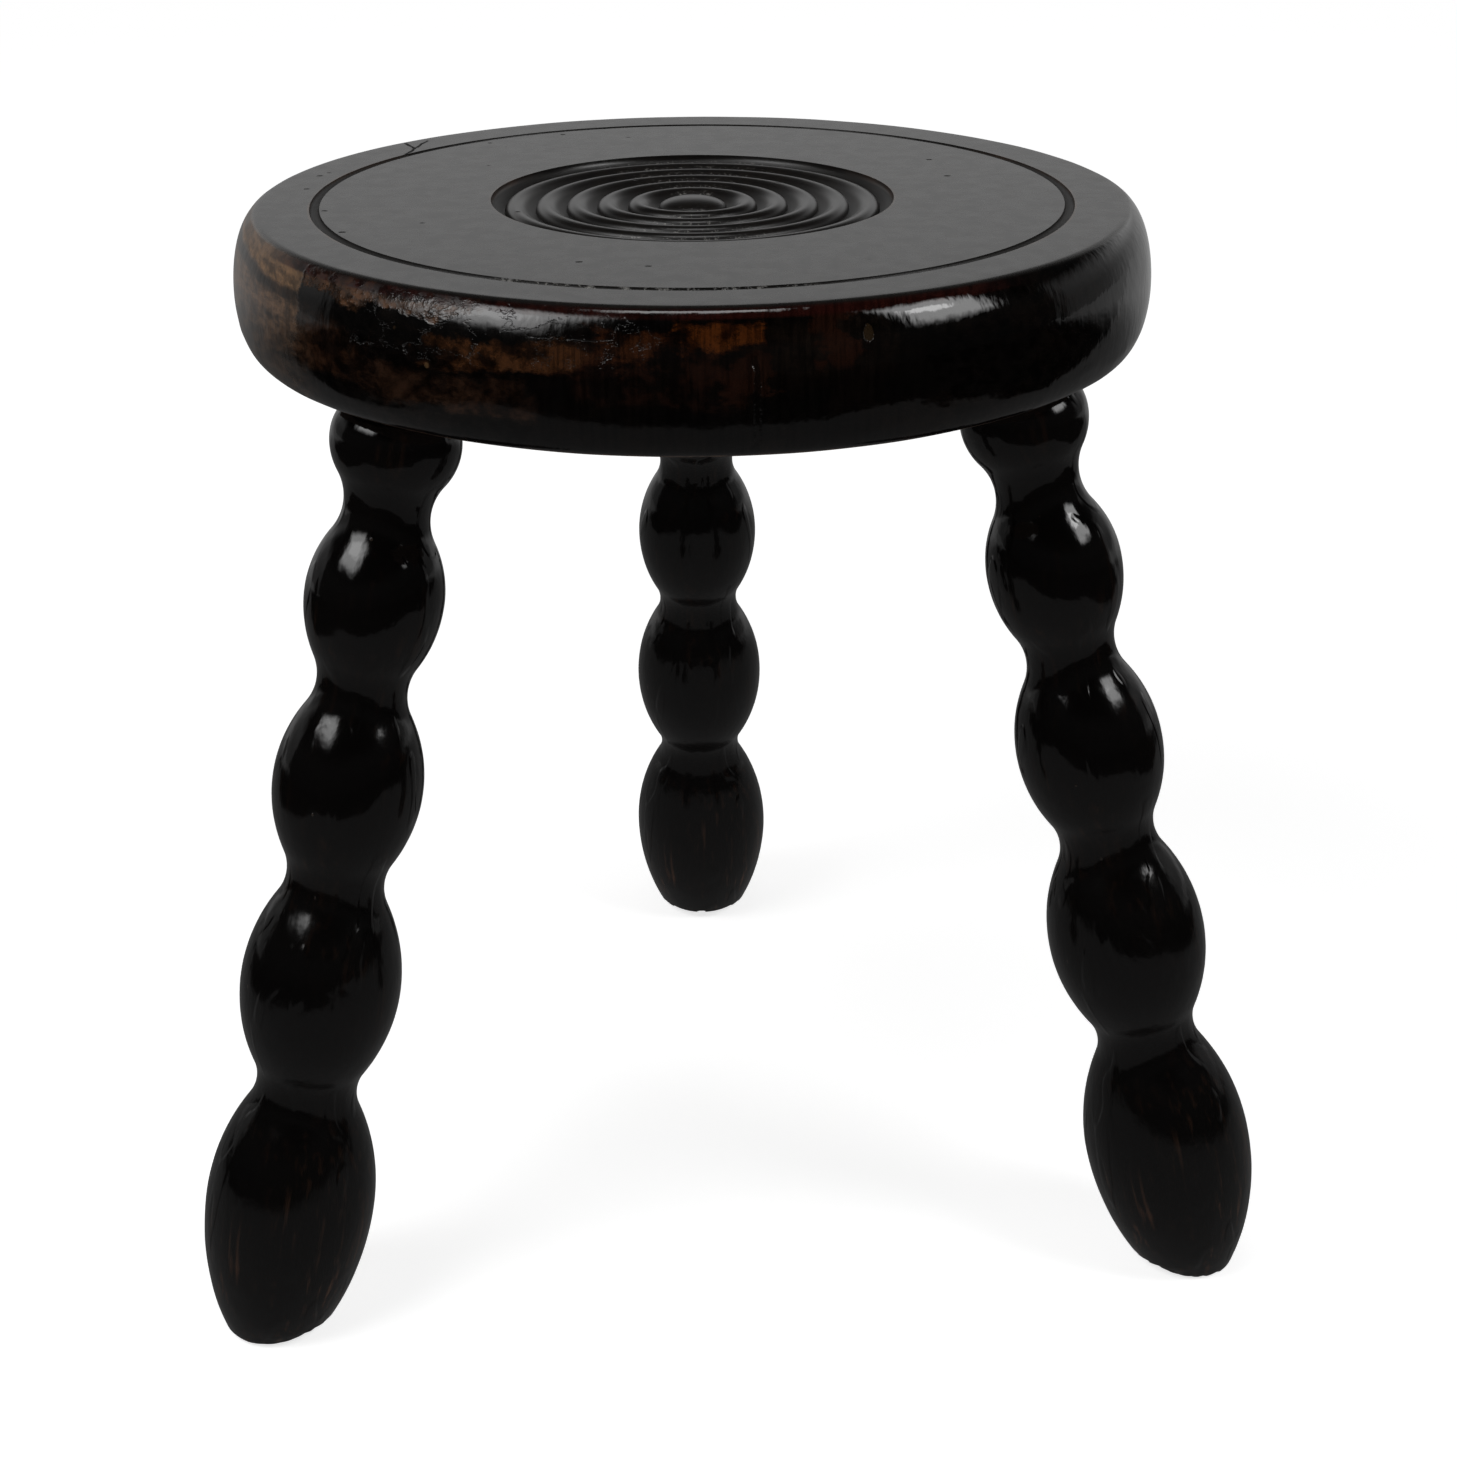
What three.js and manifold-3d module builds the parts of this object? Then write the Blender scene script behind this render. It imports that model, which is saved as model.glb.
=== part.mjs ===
// A three-legged turned wooden stool. Millimetres, +Z up, feet on z = 0, front towards -Y.
// The origin is the middle of the bounding box's base; the seat's axis is to one side of it.
import * as THREE from "three";
import { mergeVertices } from "three/addons/utils/BufferGeometryUtils.js";
import Module from "manifold-3d";

// Seat: one board turned to a disc.
const SEAT_RADIUS = 140;
const SEAT_TOP = 347;
const SEAT_UNDERSIDE = 308;
const TOP_FLAT_RADIUS = 130.6; // where the flat top ends and the rim starts to round over
const WIDEST_BELOW_TOP = 23; // depth of the rim's widest circle
const UNDERSIDE_FLAT_RADIUS = 134;

// Turned ornament in the top: a ring groove, and a shallow dish of ring beads round a dome.
const GROOVE_RADIUS = 114.4;
const GROOVE_HALF_WIDTH = 1.5;
const GROOVE_DEPTH = 1.6;
const DISH_RADIUS = 61.5;
const DOME_RADIUS = 10.4;
const DOME_APEX_DEPTH = 0.5;
const BEAD_COUNT = 5;
const BEAD_PITCH = 9.4;
const BEAD_CREST_INSET = 2.8; // the crest sits close to the bead's outer crease
const BEAD_CREST_DEPTH = 1.3;
const CREASE_DEPTH = 3.8;

// Legs: where each axis meets the seat's underside and the floor, as radius and compass angle
// about the seat's axis. The three were bored by eye, so they differ by a few degrees.
const LEGS = {
  front_left: { seatRadius: 107, seatAngle: -141, footRadius: 174.3, footAngle: -144.8 },
  front_right: { seatRadius: 107, seatAngle: -28.9, footRadius: 182.5, footAngle: -23.4 },
  back: { seatRadius: 111.3, seatAngle: 90, footRadius: 179.8, footAngle: 89.6 },
};

// Leg profile: distances run down the leg's axis from the seat's underside.
// Each bulge and each waist is one circular arc, and neighbouring arcs touch smoothly.
const COLLAR = { at: 8, radius: 20.7 };
const BOBBINS = [
  { at: 64, radius: 20.6 },
  { at: 124, radius: 22.8 },
  { at: 191.5, radius: 24.9 },
  { at: 271, radius: 27 },
];
const WAISTS = [
  { at: 36.7, radius: 12.8 },
  { at: 91.4, radius: 13.8 },
  { at: 154.8, radius: 15.2 },
  { at: 227.2, radius: 15.9 },
];
const WAIST_ARC = 17;
const FOOT_ARC = 99; // the last bobbin's long lower curve
const SHOULDER_RADIUS = 15;
const FOOT_FLAT_RADIUS = 13.2;
const FOOT_ROUND = 3.5;

// Blind joint: a round tenon in a mortise bored along the leg's axis, spread by a hidden wedge.
const GAP = 0.3; // between pieces that touch
const TENON_RADIUS = 12.5;
const TENON_LENGTH = 27;
const TENON_CHAMFER = 1;
const SPOT_FACE_RADIUS = 22; // flat cut square to the leg, where its shoulder seats
const KERF_DEPTH = 18;
const KERF_HALF_MOUTH = 2.3;
const KERF_HALF_ROOT = 0.8;
const WEDGE_WIDTH = 20;

const SEAT_SEGMENTS = 60;
const LEG_SEGMENTS = 24;
const CUTTER_SEGMENTS = 32;

const wasm = await Module();
wasm.setup();

const toRadians = THREE.MathUtils.degToRad;

function solid(geometry) {
  geometry.deleteAttribute("normal");
  geometry.deleteAttribute("uv");
  const merged = mergeVertices(geometry, 1e-4);
  const mesh = new wasm.Mesh({
    numProp: 3,
    vertProperties: merged.attributes.position.array,
    triVerts: new Uint32Array(merged.index.array),
  });
  return new wasm.Manifold(mesh);
}

function geometryOf(body) {
  const mesh = body.getMesh();
  const geometry = new THREE.BufferGeometry();
  geometry.setAttribute("position", new THREE.BufferAttribute(mesh.vertProperties, 3));
  geometry.setIndex(new THREE.BufferAttribute(mesh.triVerts, 1));
  geometry.computeVertexNormals();
  return geometry;
}

// A quarter of an ellipse. It leaves the first point along the radius when flatFirst is true,
// and along the height when it is false. The first point itself is left out.
function quarter(from, to, steps, flatFirst) {
  const points = [];
  for (let i = 1; i <= steps; i++) {
    const turn = (i / steps) * (Math.PI / 2);
    const across = flatFirst ? Math.sin(turn) : 1 - Math.cos(turn);
    const along = flatFirst ? 1 - Math.cos(turn) : Math.sin(turn);
    points.push([from[0] + (to[0] - from[0]) * across, from[1] + (to[1] - from[1]) * along]);
  }
  return points;
}

// A smooth S between two points, level at both ends. The first point is left out.
function sweep(from, to, steps) {
  const points = [];
  for (let i = 1; i <= steps; i++) {
    const share = i / steps;
    const rise = (1 - Math.cos(Math.PI * share)) / 2;
    points.push([from[0] + (to[0] - from[0]) * share, from[1] + (to[1] - from[1]) * rise]);
  }
  return points;
}

// Revolves a closed outline of [radius, height] points about Z.
function turned(outline, segments) {
  const points = outline.map(([radius, height]) => new THREE.Vector2(radius, height));
  return new THREE.LatheGeometry(points, segments).rotateX(Math.PI / 2);
}

function seatOutline() {
  const top = SEAT_TOP;
  const outline = [[0, SEAT_UNDERSIDE]];
  const widest = [SEAT_RADIUS, top - WIDEST_BELOW_TOP];
  const rimTop = [TOP_FLAT_RADIUS, top];
  outline.push([UNDERSIDE_FLAT_RADIUS, SEAT_UNDERSIDE]);
  outline.push(...quarter([UNDERSIDE_FLAT_RADIUS, SEAT_UNDERSIDE], widest, 6, true));
  outline.push(...quarter(widest, rimTop, 8, false));
  const grooveOuter = [GROOVE_RADIUS + GROOVE_HALF_WIDTH, top];
  const grooveFloor = [GROOVE_RADIUS, top - GROOVE_DEPTH];
  const grooveInner = [GROOVE_RADIUS - GROOVE_HALF_WIDTH, top];
  outline.push(grooveOuter);
  outline.push(...quarter(grooveOuter, grooveFloor, 2, false));
  outline.push(...quarter(grooveFloor, grooveInner, 2, true));
  const dishEdge = [DISH_RADIUS, top];
  outline.push(dishEdge);
  let crease = [DOME_RADIUS + BEAD_PITCH * BEAD_COUNT, top - CREASE_DEPTH];
  outline.push(...quarter(dishEdge, crease, 2, false));
  for (let bead = BEAD_COUNT; bead > 0; bead--) {
    const crest = [crease[0] - BEAD_CREST_INSET, top - BEAD_CREST_DEPTH];
    const inner = [crease[0] - BEAD_PITCH, top - CREASE_DEPTH];
    outline.push(...quarter(crease, crest, 2, false));
    outline.push(...sweep(crest, inner, 3));
    crease = inner;
  }
  outline.push(...quarter(crease, [0, top - DOME_APEX_DEPTH], 3, false));
  return outline;
}

// Half of a bulge down to a waist: the bulge's arc, then the waist's, touching where they meet.
// Points run from the bulge to the waist; the bulge's own point is left out.
function bulgeToWaist(bulge, waist, steps) {
  const length = waist.at - bulge.at;
  const drop = bulge.radius - waist.radius;
  const bulgeArc = (length * length + drop * drop) / (2 * drop) - WAIST_ARC;
  const meeting = (Math.abs(length) * bulgeArc) / (bulgeArc + WAIST_ARC);
  const points = [];
  for (let i = 1; i <= steps; i++) {
    const travel = (Math.abs(length) * i) / steps;
    const left = Math.abs(length) - travel;
    const onBulge = bulge.radius - bulgeArc + Math.sqrt(bulgeArc ** 2 - travel ** 2);
    const onWaist = waist.radius + WAIST_ARC - Math.sqrt(WAIST_ARC ** 2 - left ** 2);
    const radius = travel < meeting ? onBulge : onWaist;
    points.push([radius, bulge.at + Math.sign(length) * travel]);
  }
  return points;
}

// The leg from its tenon to just past the floor. Here the second number is the distance down.
function legOutline(length) {
  const outline = [[0, -TENON_LENGTH]];
  outline.push([TENON_RADIUS - TENON_CHAMFER, -TENON_LENGTH]);
  outline.push([TENON_RADIUS, -TENON_LENGTH + TENON_CHAMFER]);
  outline.push([TENON_RADIUS, GAP]);
  outline.push([SHOULDER_RADIUS, GAP]);
  outline.push(...quarter([SHOULDER_RADIUS, GAP], [COLLAR.radius, COLLAR.at], 4, true));
  let bulge = COLLAR;
  WAISTS.forEach((waist, i) => {
    outline.push(...bulgeToWaist(bulge, waist, 4));
    bulge = BOBBINS[i];
    outline.push(...bulgeToWaist(bulge, waist, 4).slice(0, -1).reverse());
    outline.push([bulge.radius, bulge.at]);
  });
  const past = length + 8;
  const steps = 6;
  for (let i = 1; i <= steps; i++) {
    const travel = ((past - bulge.at) * i) / steps;
    outline.push([bulge.radius - FOOT_ARC + Math.sqrt(FOOT_ARC ** 2 - travel ** 2), bulge.at + travel]);
  }
  outline.push([0, past]);
  return outline;
}

// Turned about the leg's own axis: local Z points up the leg, from its foot to its tenon.
function turnedDown(outline, segments) {
  const upright = outline.map(([radius, down]) => [radius, -down]).reverse();
  return turned(upright, segments);
}

// A prism with the outline of a truncated V, thin along local Y and as wide as asked along local X.
function taperedPrism(halfTop, halfBottom, top, bottom, width) {
  const shape = new THREE.Shape();
  shape.moveTo(-halfTop, top);
  shape.lineTo(-halfBottom, bottom);
  shape.lineTo(halfBottom, bottom);
  shape.lineTo(halfTop, top);
  shape.closePath();
  const prism = new THREE.ExtrudeGeometry(shape, { depth: width, bevelEnabled: false });
  prism.translate(0, 0, -width / 2);
  prism.rotateY(Math.PI / 2);
  prism.rotateX(Math.PI / 2);
  prism.rotateZ(Math.PI / 2);
  return prism;
}

function polar(radius, angle, height) {
  const turn = toRadians(angle);
  return new THREE.Vector3(radius * Math.cos(turn), radius * Math.sin(turn), height);
}

// Places a leg's local frame: Z up the leg, Y as near as it gets to the seat's grain, world Y.
function legFrame(leg) {
  const seatPoint = polar(leg.seatRadius, leg.seatAngle, SEAT_UNDERSIDE);
  const footPoint = polar(leg.footRadius, leg.footAngle, 0);
  const up = seatPoint.clone().sub(footPoint);
  const length = up.length();
  up.normalize();
  const grain = new THREE.Vector3(0, 1, 0);
  grain.addScaledVector(up, -grain.dot(up)).normalize();
  const across = grain.clone().cross(up);
  const placed = new THREE.Matrix4().makeBasis(across, grain, up).setPosition(seatPoint);
  return { placed, footPoint, length };
}

// Everything above the floor, with the foot's edge rounded and the rest of the leg kept whole.
function footTrimmer(footPoint) {
  const tall = 2 * SEAT_TOP;
  const flatEdge = [FOOT_FLAT_RADIUS, 0];
  const outline = [[0, 0], flatEdge];
  outline.push(...quarter(flatEdge, [FOOT_FLAT_RADIUS + FOOT_ROUND, FOOT_ROUND], 3, true));
  outline.push([tall, tall]);
  outline.push([0, tall]);
  return solid(turned(outline, CUTTER_SEGMENTS).translate(footPoint.x, footPoint.y, 0));
}

function varnishedWood(color) {
  return new THREE.MeshStandardMaterial({ color, roughness: 0.3, metalness: 0 });
}

const stool = new THREE.Group();
let seat = solid(turned(seatOutline(), SEAT_SEGMENTS));

for (const [place, leg] of Object.entries(LEGS)) {
  const { placed, footPoint, length } = legFrame(leg);

  const socket = [
    [0, -TENON_LENGTH - GAP],
    [TENON_RADIUS + GAP, -TENON_LENGTH - GAP],
    [TENON_RADIUS + GAP, 0],
    [SPOT_FACE_RADIUS, 0],
    [SPOT_FACE_RADIUS, SPOT_FACE_RADIUS],
    [0, SPOT_FACE_RADIUS],
  ];
  seat = seat.subtract(solid(turnedDown(socket, CUTTER_SEGMENTS).applyMatrix4(placed)));

  const kerfTop = TENON_LENGTH + 1;
  const kerfRoot = TENON_LENGTH - KERF_DEPTH;
  const kerf = taperedPrism(KERF_HALF_MOUTH, KERF_HALF_ROOT, kerfTop, kerfRoot, 3 * TENON_RADIUS);
  let body = solid(turnedDown(legOutline(length), LEG_SEGMENTS).applyMatrix4(placed));
  body = body.subtract(solid(kerf.applyMatrix4(placed)));
  body = body.intersect(footTrimmer(footPoint));
  const legMesh = new THREE.Mesh(geometryOf(body), varnishedWood(0x1a1110));
  legMesh.name = "leg_" + place;
  stool.add(legMesh);

  const wedge = taperedPrism(
    KERF_HALF_MOUTH - GAP,
    KERF_HALF_ROOT - GAP,
    TENON_LENGTH - GAP,
    kerfRoot + 2 * GAP,
    WEDGE_WIDTH,
  );
  const wedgeMesh = new THREE.Mesh(wedge.applyMatrix4(placed), varnishedWood(0x9a7448));
  wedgeMesh.name = "wedge_" + place;
  stool.add(wedgeMesh);
}

const seatMesh = new THREE.Mesh(geometryOf(seat), varnishedWood(0x2a1f1b));
seatMesh.name = "seat";
stool.add(seatMesh);

const box = new THREE.Box3().setFromObject(stool, true);
const middle = box.getCenter(new THREE.Vector3());
stool.position.set(-middle.x, -middle.y, 0);

const part = new THREE.Group();
part.add(stool);
export default part;
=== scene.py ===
"""The looks of the turned tripod stool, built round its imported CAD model. Metres, +Z up."""
import math

import bpy
import numpy as np
from mathutils import Matrix, Vector, noise


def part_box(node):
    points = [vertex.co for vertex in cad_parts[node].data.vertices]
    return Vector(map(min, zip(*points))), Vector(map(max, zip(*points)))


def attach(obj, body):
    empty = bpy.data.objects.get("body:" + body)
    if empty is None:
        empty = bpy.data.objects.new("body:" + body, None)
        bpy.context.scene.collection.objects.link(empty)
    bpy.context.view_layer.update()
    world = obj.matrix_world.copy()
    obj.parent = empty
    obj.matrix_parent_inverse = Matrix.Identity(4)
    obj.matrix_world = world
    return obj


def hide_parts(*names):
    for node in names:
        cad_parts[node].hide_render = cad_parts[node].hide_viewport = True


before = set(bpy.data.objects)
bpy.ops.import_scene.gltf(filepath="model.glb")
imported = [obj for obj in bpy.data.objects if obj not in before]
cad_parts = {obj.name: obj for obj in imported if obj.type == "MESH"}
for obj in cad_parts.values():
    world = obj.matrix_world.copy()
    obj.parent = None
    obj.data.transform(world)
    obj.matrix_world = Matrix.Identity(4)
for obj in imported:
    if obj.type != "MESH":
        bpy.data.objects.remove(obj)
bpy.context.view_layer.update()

MM = 0.001
seat_low, seat_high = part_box("seat")
AXIS = Vector(((seat_low.x + seat_high.x) / 2, (seat_low.y + seat_high.y) / 2, 0))
TOP = seat_high.z
UNDERSIDE = seat_low.z

# The CAD model's driving sizes, in millimetres. Only the collar differs: here it is a rounder ring,
# 8.5 mm lower, below a short neck.
SEAT_RADIUS = 140
SEAT_THICKNESS = 39
TOP_FLAT_RADIUS = 130.6
WIDEST_BELOW_TOP = 23
UNDERSIDE_FLAT_RADIUS = 134
GROOVE_RADIUS = 114.4
GROOVE_HALF_WIDTH = 1.5
GROOVE_DEPTH = 1.6
DISH_RADIUS = 61.5
DOME_RADIUS = 10.4
DOME_APEX_DEPTH = 0.5
BEAD_COUNT = 5
BEAD_PITCH = 9.4
BEAD_CREST_INSET = 2.8
BEAD_CREST_DEPTH = 1.3
CREASE_DEPTH = 3.8

# Where each leg's axis meets the seat's underside and the floor: radius, and degrees from +X.
LEGS = {
    "front_left": ((107, -141), (174.3, -144.8)),
    "front_right": ((107, -28.9), (182.5, -23.4)),
    "back": ((111.3, 90), (179.8, 89.6)),
}
# Along a leg: distance down from the seat's underside, and radius.
COLLAR = (16.5, 19.0)
BOBBINS = ((64, 20.6), (124, 22.8), (191.5, 24.9), (271, 27))
WAISTS = ((36.7, 12.8), (91.4, 13.8), (154.8, 15.2), (227.2, 15.9))
# Radii of the arcs in the waists and down to the foot.
WAIST_ARC = 17
FOOT_ARC = 99
SHOULDER_RADIUS = 13
NECK_LENGTH = 7
NECK_FLARE = 0.6
SHOULDER_GAP = 0.3
FOOT_FLAT_RADIUS = 13.2
FOOT_ROUND = 3.5
TENON_RADIUS = 12.5
TENON_LENGTH = 27
TENON_ROUND = 1
SPOT_FACE_RADIUS = 22
KERF_DEPTH = 18
KERF_HALF_MOUTH = 2.3
KERF_HALF_ROOT = 0.8
PAST_FLOOR = 8  # how far the leg is turned past the floor before its foot is levelled
SHARP_ANGLE = 40  # degrees an edge turns by before it is shaded sharp


# ---------------------------------------------------------------- outlines

def quarter(start, end, steps, flat_first):
    """A quarter ellipse from start to end, without its first point."""
    turn = np.linspace(0, math.pi / 2, steps + 1)[1:]
    across = np.sin(turn) if flat_first else 1 - np.cos(turn)
    along = 1 - np.cos(turn) if flat_first else np.sin(turn)
    return [
        (start[0] + (end[0] - start[0]) * a, start[1] + (end[1] - start[1]) * b)
        for a, b in zip(across, along)
    ]


def sweep(start, end, steps):
    """A smooth S from start to end, level at both ends, without its first point."""
    share = np.linspace(0, 1, steps + 1)[1:]
    rise = (1 - np.cos(math.pi * share)) / 2
    return [
        (start[0] + (end[0] - start[0]) * s, start[1] + (end[1] - start[1]) * r)
        for s, r in zip(share, rise)
    ]


def straight(start, end, steps):
    """A straight line from start to end, without its first point."""
    share = np.linspace(0, 1, steps + 1)[1:]
    return [
        (start[0] + (end[0] - start[0]) * s, start[1] + (end[1] - start[1]) * s)
        for s in share
    ]


def seat_outline():
    """(radius, height above the seat's top) from the underside's centre round to the dome's apex."""
    bottom_edge = (UNDERSIDE_FLAT_RADIUS, -SEAT_THICKNESS)
    widest = (SEAT_RADIUS, -WIDEST_BELOW_TOP)
    rim_top = (TOP_FLAT_RADIUS, 0)
    line = [(0, -SEAT_THICKNESS)]
    line += straight(line[-1], bottom_edge, 24)
    line += quarter(bottom_edge, widest, 26, True)
    line += quarter(widest, rim_top, 40, False)
    groove_outer = (GROOVE_RADIUS + GROOVE_HALF_WIDTH, 0)
    groove_floor = (GROOVE_RADIUS, -GROOVE_DEPTH)
    groove_inner = (GROOVE_RADIUS - GROOVE_HALF_WIDTH, 0)
    line += straight(rim_top, groove_outer, 10)
    line += quarter(groove_outer, groove_floor, 6, False)
    line += quarter(groove_floor, groove_inner, 6, True)
    dish_edge = (DISH_RADIUS, 0)
    line += straight(groove_inner, dish_edge, 26)
    crease = (DOME_RADIUS + BEAD_PITCH * BEAD_COUNT, -CREASE_DEPTH)
    line += quarter(dish_edge, crease, 12, False)
    for _ in range(BEAD_COUNT):
        crest = (crease[0] - BEAD_CREST_INSET, -BEAD_CREST_DEPTH)
        inner = (crease[0] - BEAD_PITCH, -CREASE_DEPTH)
        line += quarter(crease, crest, 9, False)
        line += sweep(crest, inner, 13)
        crease = inner
    line += quarter(crease, (0, -DOME_APEX_DEPTH), 18, False)
    return line


def bulge_to_waist(bulge, waist, steps):
    """Two touching arcs from a bulge to a waist, as (radius, distance down), without the bulge's point."""
    length = abs(waist[0] - bulge[0])
    sign = 1 if waist[0] > bulge[0] else -1
    drop = bulge[1] - waist[1]
    bulge_arc = (length**2 + drop**2) / (2 * drop) - WAIST_ARC
    meeting = length * bulge_arc / (bulge_arc + WAIST_ARC)
    points = []
    for i in range(1, steps + 1):
        travel = length * i / steps
        if travel < meeting:
            radius = bulge[1] - bulge_arc + math.sqrt(bulge_arc**2 - travel**2)
        else:
            radius = waist[1] + WAIST_ARC - math.sqrt(WAIST_ARC**2 - (length - travel) ** 2)
        points.append((radius, bulge[0] + sign * travel))
    return points


def leg_outline(length):
    """(radius, distance down the leg's axis) from the tenon's end to just past the floor."""
    line = [(0, -TENON_LENGTH)]
    line += straight(line[-1], (TENON_RADIUS - TENON_ROUND, -TENON_LENGTH), 4)
    line += quarter(line[-1], (TENON_RADIUS, -TENON_LENGTH + TENON_ROUND), 4, True)
    line += straight(line[-1], (TENON_RADIUS, SHOULDER_GAP), 12)
    line += straight(line[-1], (SHOULDER_RADIUS, SHOULDER_GAP), 3)
    line += straight(line[-1], (SHOULDER_RADIUS + NECK_FLARE, NECK_LENGTH), 5)
    line += quarter(line[-1], (COLLAR[1], COLLAR[0]), 14, True)
    bulge = COLLAR
    for waist, following in zip(WAISTS, BOBBINS):
        line += bulge_to_waist(bulge, waist, 26)
        line += bulge_to_waist(following, waist, 26)[:-1][::-1]
        line.append((following[1], following[0]))
        bulge = following
    past = length + PAST_FLOOR
    for travel in np.linspace(0, past - bulge[0], 50)[1:]:
        line.append((bulge[1] - FOOT_ARC + math.sqrt(FOOT_ARC**2 - travel**2), bulge[0] + travel))
    line += straight(line[-1], (0, past), 8)
    return line


# ---------------------------------------------------------------- meshes

def revolve(name, line, segments, bump):
    """A closed mesh of an outline of (radius, height) in mm turned about Z. Both ends sit on the axis.

    bump(points, normals) gives each point's displacement along its normal, in mm."""
    line = np.array(line, float)
    inner = line[1:-1]
    angle = np.linspace(0, 2 * math.pi, segments, endpoint=False)
    around = np.stack([np.cos(angle), np.sin(angle)], 1)
    points = np.concatenate(
        [
            np.repeat(inner[:, None, :1], segments, 1) * around[None],
            np.repeat(inner[:, None, 1:], segments, 1),
        ],
        2,
    )
    slope = np.gradient(inner, axis=0)
    slope /= np.linalg.norm(slope, axis=1)[:, None]
    normal = np.concatenate(
        [slope[:, None, 1:] * around[None], np.repeat(-slope[:, None, :1], segments, 1)], 2
    )
    points = points.reshape(-1, 3)
    normal = normal.reshape(-1, 3)
    points = points + normal * bump(points, normal)[:, None]
    ends = np.array([[0, 0, line[0, 1]], [0, 0, line[-1, 1]]])
    points = np.concatenate([points, ends]) * MM
    rings = len(inner)
    first_end = rings * segments
    second_end = first_end + 1
    faces = []
    for i in range(rings - 1):
        for j in range(segments):
            k = (j + 1) % segments
            a = i * segments
            b = a + segments
            faces.append((a + j, a + k, b + k, b + j))
    last = (rings - 1) * segments
    for j in range(segments):
        k = (j + 1) % segments
        faces.append((first_end, k, j))
        faces.append((second_end, last + j, last + k))
    mesh = bpy.data.meshes.new(name)
    mesh.from_pydata(points.tolist(), [], faces)
    mesh.validate()
    mesh.update()
    piece = bpy.data.objects.new(name, mesh)
    bpy.context.scene.collection.objects.link(piece)
    return piece


def waviness(points, size, amount, seed):
    """Smooth noise at each point, about -amount to amount, with features of that size in mm."""
    shift = Vector((seed * 17.3, seed * 5.1, seed * 11.7))
    return np.array([noise.noise(Vector(p) / size + shift) for p in points]) * amount * 1.6


def cut(piece, cutters):
    """Cuts solids out of a piece with the exact boolean."""
    for cutter in cutters:
        modifier = piece.modifiers.new("cut", "BOOLEAN")
        modifier.operation = "DIFFERENCE"
        modifier.solver = "EXACT"
        modifier.object = cutter
    bpy.context.view_layer.update()
    graph = bpy.context.evaluated_depsgraph_get()
    mesh = bpy.data.meshes.new_from_object(piece.evaluated_get(graph))
    piece.modifiers.clear()
    piece.data = mesh
    for cutter in cutters:
        bpy.data.objects.remove(cutter)


def smooth(piece):
    """Smooth shading, with an edge kept sharp where its faces turn by more than SHARP_ANGLE."""
    for polygon in piece.data.polygons:
        polygon.use_smooth = True
    piece.data.set_sharp_from_angle(angle=math.radians(SHARP_ANGLE))


def polar(radius, degrees, height):
    """A place at a radius in mm and a turn from +X round the seat's axis, at a height in metres."""
    turn = math.radians(degrees)
    return AXIS + Vector((radius * math.cos(turn) * MM, radius * math.sin(turn) * MM, height))


def leg_frame(seat_point, foot_point):
    """Z up the leg, Y as near as it gets to the seat's grain, origin at the seat's underside."""
    up = (seat_point - foot_point).normalized()
    grain = Vector((0, 1, 0))
    grain = (grain - up * grain.dot(up)).normalized()
    across = grain.cross(up)
    placed = Matrix((across, grain, up)).transposed().to_4x4()
    placed.translation = seat_point
    return placed


def no_relief(points, normals):
    return np.zeros(len(points))


def socket_cutter(placed):
    """The mortise and the spot face of one leg."""
    depth = TENON_LENGTH + SHOULDER_GAP
    radius = TENON_RADIUS + SHOULDER_GAP
    line = [(0, -SPOT_FACE_RADIUS), (SPOT_FACE_RADIUS, -SPOT_FACE_RADIUS)]
    line += [(SPOT_FACE_RADIUS, 0), (radius, 0), (radius, depth), (0, depth)]
    cutter = revolve("socket_cutter", line, segments=64, bump=no_relief)
    cutter.matrix_world = placed
    return cutter


def kerf_cutter(placed):
    """The saw kerf in one tenon, opened to a V by its wedge."""
    top = TENON_LENGTH + 1
    root = TENON_LENGTH - KERF_DEPTH
    half = 1.5 * TENON_RADIUS
    corners = [
        (x, y, z)
        for x in (-half, half)
        for y, z in (
            (-KERF_HALF_MOUTH, top),
            (-KERF_HALF_ROOT, root),
            (KERF_HALF_ROOT, root),
            (KERF_HALF_MOUTH, top),
        )
    ]
    faces = [(0, 1, 2, 3), (7, 6, 5, 4), (0, 4, 5, 1), (1, 5, 6, 2), (2, 6, 7, 3), (3, 7, 4, 0)]
    mesh = bpy.data.meshes.new("kerf_cutter")
    mesh.from_pydata((np.array(corners) * MM).tolist(), [], faces)
    cutter = bpy.data.objects.new("kerf_cutter", mesh)
    bpy.context.scene.collection.objects.link(cutter)
    cutter.matrix_world = placed
    return cutter


def trim_foot(piece, placed, foot_point):
    """Levels the foot on the floor and rounds its edge, as the CAD model does."""
    mesh = piece.data
    count = len(mesh.vertices)
    flat = np.zeros(count * 3)
    mesh.vertices.foreach_get("co", flat)
    local = flat.reshape(-1, 3)
    turn = np.array(placed.to_3x3())
    world = local @ turn.T + np.array(placed.translation)
    low = world[:, 2] < FOOT_ROUND * MM
    world[:, 2] = np.maximum(world[:, 2], 0)
    lift = np.clip((FOOT_ROUND * MM - world[:, 2]) / (FOOT_ROUND * MM), 0, 1)
    limit = (FOOT_FLAT_RADIUS + FOOT_ROUND * np.sqrt(1 - lift**2)) * MM
    offset = world[:, :2] - np.array(foot_point)[None, :2]
    reach = np.linalg.norm(offset, axis=1)
    shrink = np.where(low & (reach > limit), limit / np.maximum(reach, 1e-9), 1)
    world[:, :2] = np.array(foot_point)[None, :2] + offset * shrink[:, None]
    local = (world - np.array(placed.translation)) @ turn
    mesh.vertices.foreach_set("co", local.ravel())
    mesh.update()


# ---------------------------------------------------------------- materials

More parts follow.
